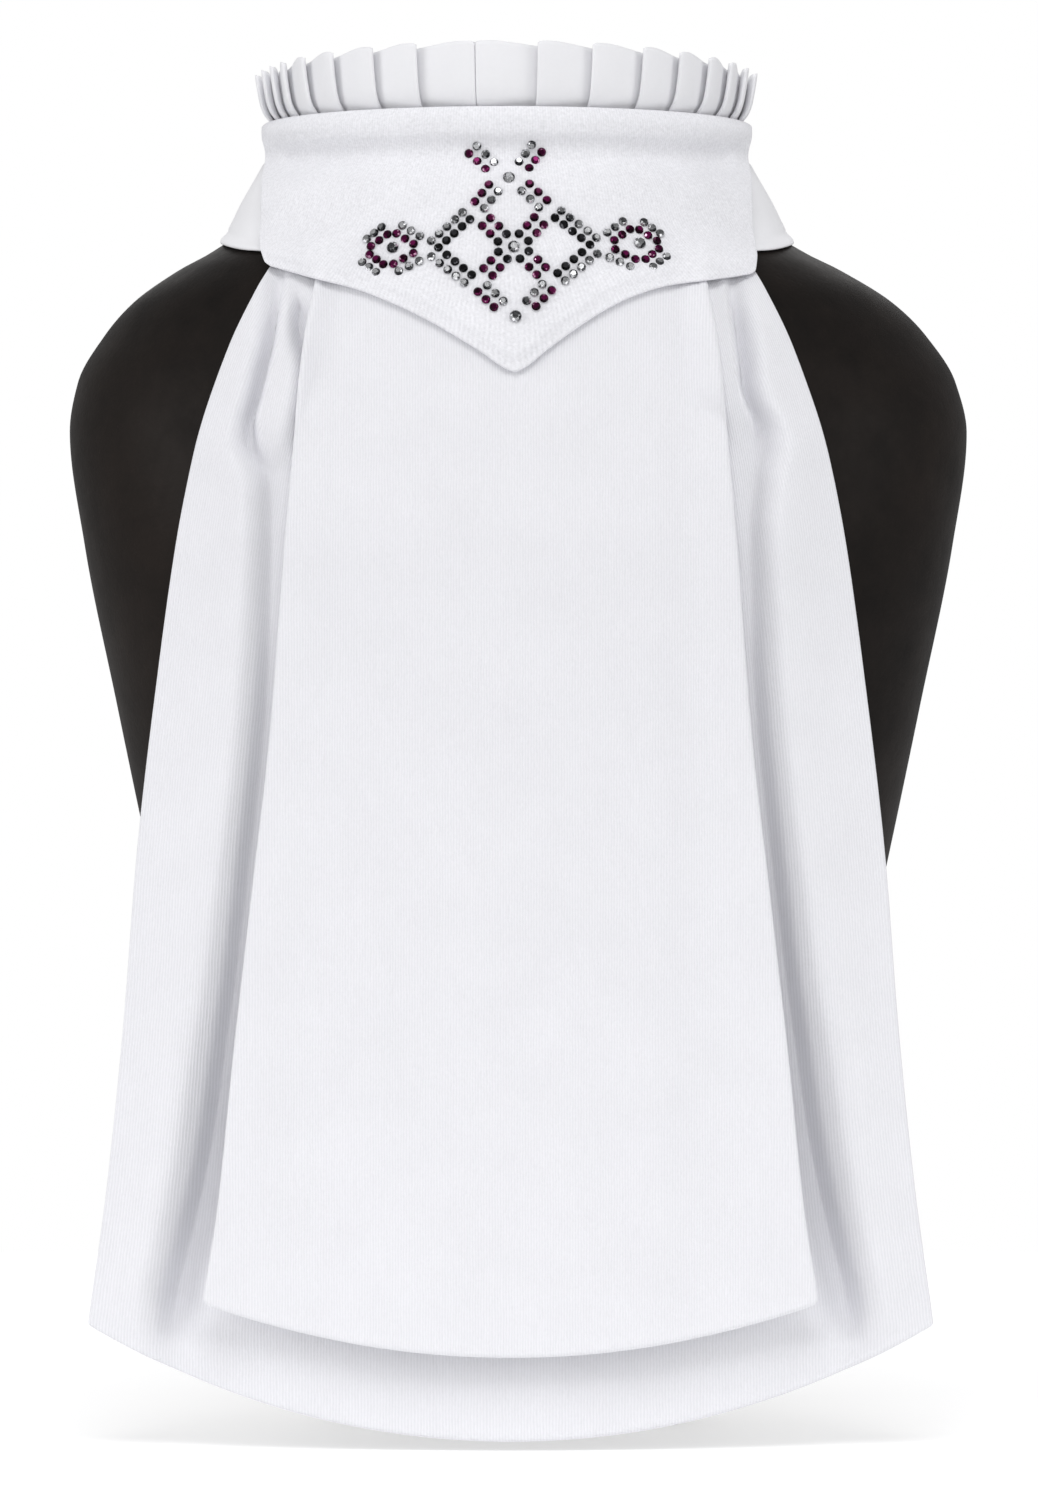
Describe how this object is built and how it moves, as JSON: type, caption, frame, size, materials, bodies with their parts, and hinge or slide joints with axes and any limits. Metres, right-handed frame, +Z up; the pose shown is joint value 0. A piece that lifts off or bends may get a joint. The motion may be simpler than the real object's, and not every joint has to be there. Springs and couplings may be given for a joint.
{
  "type": "stock tie on neck bust",
  "caption": "White riding stock tie with pleated frill, padded pointed collar and two hanging bibs, worn by a plain dark neck bust that stands on its foot.",
  "frame": {"origin": "on the surface that the bust stands on, under the neck's axis", "axes": "+Z up the neck, -Y is the front, +X is the viewer's right"},
  "size_m": [0.237, 0.1589, 0.3597],
  "materials": {
    "knit": "fine ribbed white knit, lightly brushed",
    "smooth_cloth": "smooth white cloth with a faint sheen",
    "hook_tape": "white hook-and-loop tape",
    "crystal": "foil-backed faceted glass",
    "bust_shell": "near-black satin shell, faintly mottled"
  },
  "bodies": {
    "root": {"collar": "knit", "frill": "smooth_cloth", "front_bib": "knit", "under_bib": "knit", "neck_band_left": "smooth_cloth", "neck_band_right": "smooth_cloth", "fastening_patch": "hook_tape", "stone_top": "crystal", "stone_centre": "crystal", "stone_point": "crystal", "stone_ring_left": "crystal", "stone_ring_right": "crystal", "neck_bust": "bust_shell"}
  },
  "joints": []
}
